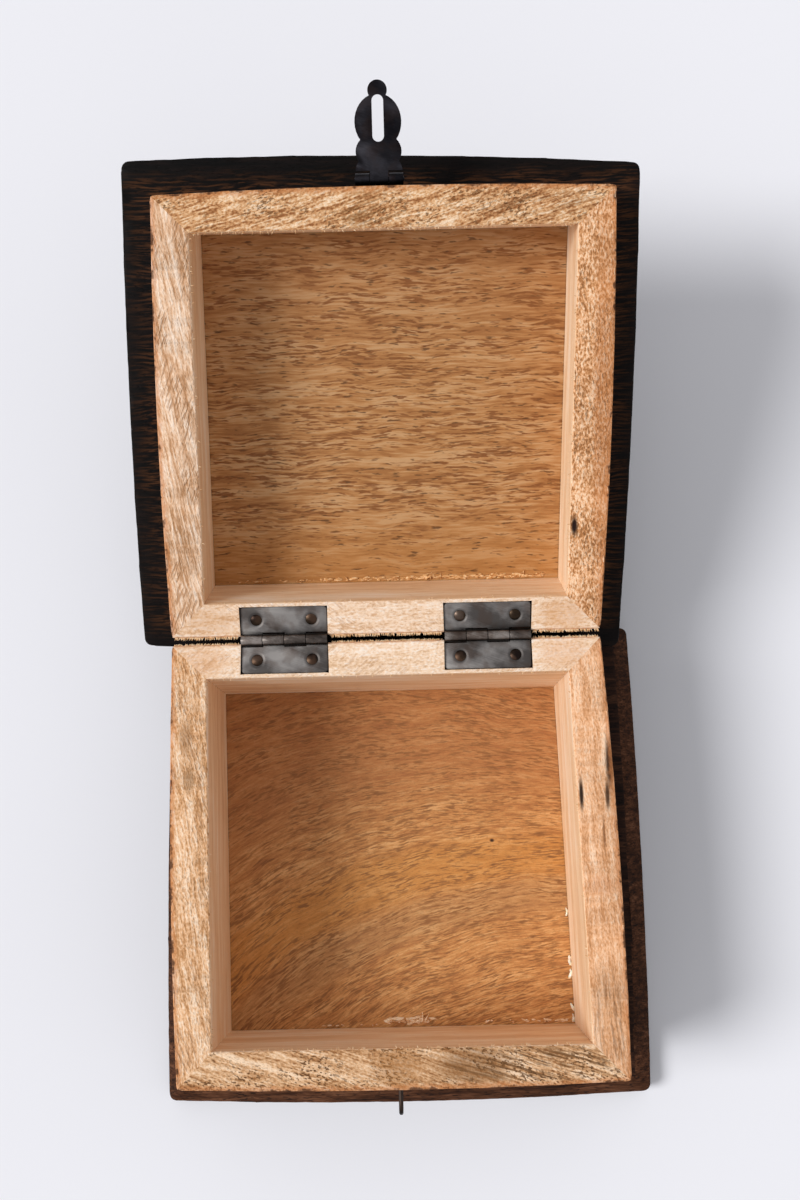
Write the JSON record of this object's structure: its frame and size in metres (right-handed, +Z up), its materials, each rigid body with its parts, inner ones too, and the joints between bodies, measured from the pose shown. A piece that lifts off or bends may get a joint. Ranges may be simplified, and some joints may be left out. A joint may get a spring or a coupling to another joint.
{
  "type": "hinged wooden box",
  "caption": "Small mitred wooden box with overhanging bevelled boards, a hinged lid standing open, and a slotted hasp that drops over a wire staple.",
  "frame": {"origin": "middle of the base board's underside", "axes": "+X to the right and +Y to the back as seen by someone facing the front, +Z up; the lid stands open towards +Y"},
  "size_m": [0.1845, 0.3317, 0.1317],
  "materials": {
    "raw_wood": "planed inside, rough-sawn at the rim, unfinished",
    "stained_wood": "dark brown stain on the outside, bare wood inside",
    "hinge_steel": "dark antique steel, worn",
    "nail_steel": "browned round heads",
    "hasp_iron": "blackened sheet iron"
  },
  "bodies": {
    "tray": {"base_board": "stained_wood", "box_wall_front": "raw_wood", "box_wall_back": "raw_wood", "box_wall_left": "raw_wood", "box_wall_right": "raw_wood", "staple": "hasp_iron", "hinge_left_box_leaf": "hinge_steel", "hinge_left_pin": "hinge_steel", "hinge_left_box_nail_1": "nail_steel", "hinge_left_box_nail_2": "nail_steel", "hinge_right_box_leaf": "hinge_steel", "hinge_right_pin": "hinge_steel", "hinge_right_box_nail_1": "nail_steel", "hinge_right_box_nail_2": "nail_steel"},
    "lid": {"lid_board": "stained_wood", "lid_rail_front": "raw_wood", "lid_rail_back": "raw_wood", "lid_rail_left": "raw_wood", "lid_rail_right": "raw_wood", "hinge_left_lid_leaf": "hinge_steel", "hinge_left_lid_nail_1": "nail_steel", "hinge_left_lid_nail_2": "nail_steel", "hinge_right_lid_leaf": "hinge_steel", "hinge_right_lid_nail_1": "nail_steel", "hinge_right_lid_nail_2": "nail_steel", "hasp_plate": "hasp_iron", "hasp_pin": "hasp_iron", "hasp_nail_1": "hasp_iron", "hasp_nail_2": "hasp_iron"},
    "hasp": {"hasp_leaf": "hasp_iron"}
  },
  "joints": [
    {"name": "lid_hinge", "type": "hinge", "parent": "tray", "child": "lid", "pos_m": [-0.0046, 0.07615, 0.05845], "axis": [1, 0, 0], "range_deg": [0, 155.06]},
    {"name": "hasp_hinge", "type": "hinge", "parent": "lid", "child": "hasp", "pos_m": [-0.0028, 0.2171, 0.11737], "axis": [1, 0, 0], "range_deg": [-60, 90]}
  ]
}
